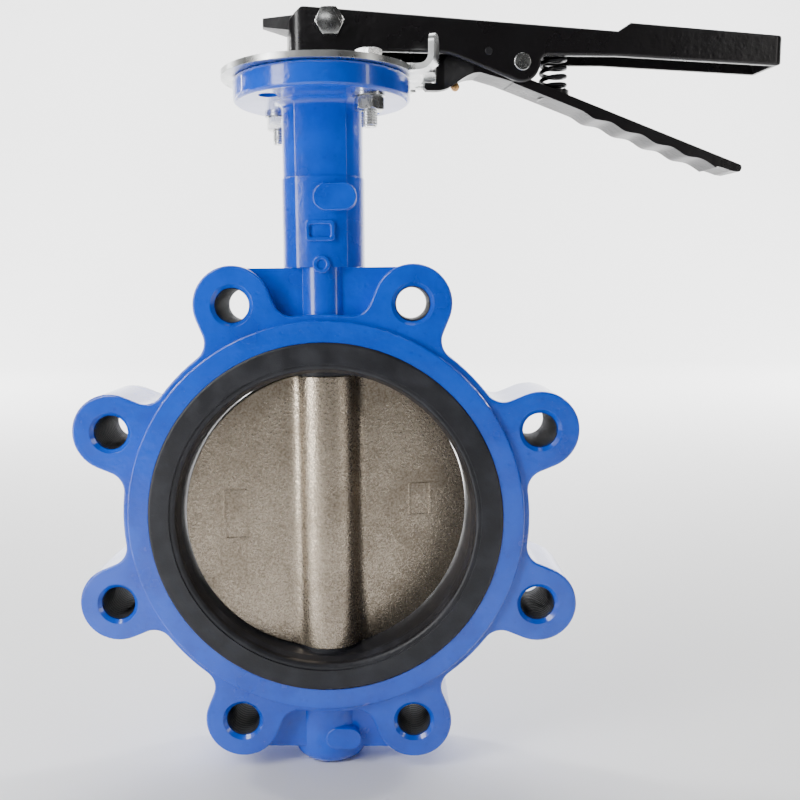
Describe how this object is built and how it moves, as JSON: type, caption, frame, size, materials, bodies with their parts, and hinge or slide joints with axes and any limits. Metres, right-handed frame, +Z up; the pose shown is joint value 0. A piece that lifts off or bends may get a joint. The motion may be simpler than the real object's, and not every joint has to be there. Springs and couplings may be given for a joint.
{
  "type": "butterfly valve",
  "caption": "Lug-type butterfly valve in blue-enamelled iron with a rubber seat, plated disc and black squeeze-trigger hand lever over a toothed quadrant.",
  "frame": {"origin": "centre of the waterway, on the stem axis, midway between the two pipe faces", "axes": "+Z up the stem towards the lever, Y along the pipe with the lever side of the valve facing -Y, +X to the right"},
  "size_m": [0.378, 0.1076, 0.3964],
  "materials": {
    "blue_enamel": "gloss blue enamel over rough sand-cast iron",
    "epdm_rubber": "moulded EPDM, dull with a slight sheen",
    "seal_rubber": "nitrile seal rubber",
    "plated_iron": "nickel plate over a pebbly casting",
    "stainless_stem": "turned stainless steel",
    "stem_bush": "acetal bearing plastic",
    "zinc_plate": "zinc-plated sheet steel",
    "zinc_fastener": "bright zinc plate",
    "spring_steel": "phosphated spring steel",
    "black_enamel": "gloss black enamel over cast iron",
    "black_spring": "black oxide spring wire",
    "brass": "dull brass"
  },
  "bodies": {
    "valve_body": {"body": "blue_enamel", "seat_liner": "epdm_rubber", "lower_stem_bush": "stem_bush", "seat_end_bush": "stem_bush", "middle_stem_bush": "stem_bush", "top_stem_bush": "stem_bush", "stem_seals": "seal_rubber", "stem_thrust_washer": "zinc_plate", "lower_thrust_pad": "stem_bush", "dust_seal": "seal_rubber", "notch_plate": "zinc_plate", "plate_bolts": "zinc_fastener", "plate_washers": "zinc_fastener", "plate_nuts": "zinc_fastener"},
    "stem_and_lever": {"disc": "plated_iron", "upper_stem": "stainless_stem", "lower_stem": "stainless_stem", "stem_circlip": "spring_steel", "lever": "black_enamel", "set_bolt": "zinc_fastener", "pivot_pin": "zinc_fastener", "pin_clip": "spring_steel", "stop_pin": "spring_steel", "return_spring": "black_spring"},
    "trigger": {"trigger": "black_enamel", "pawl_rivet": "brass"}
  },
  "joints": [
    {"name": "stem_turn", "type": "hinge", "parent": "valve_body", "child": "stem_and_lever", "pos_m": [0, 0, 0], "axis": [0, 0, 1], "range_deg": [-10, 80]},
    {"name": "trigger_squeeze", "type": "hinge", "parent": "stem_and_lever", "child": "trigger", "pos_m": [0.10143, 0.01789, 0.2341], "axis": [0.1736, -0.9848, 0], "range_deg": [-5, 13], "stiffness_Nm_per_rad": 1.2, "deforming": ["return_spring"]}
  ]
}
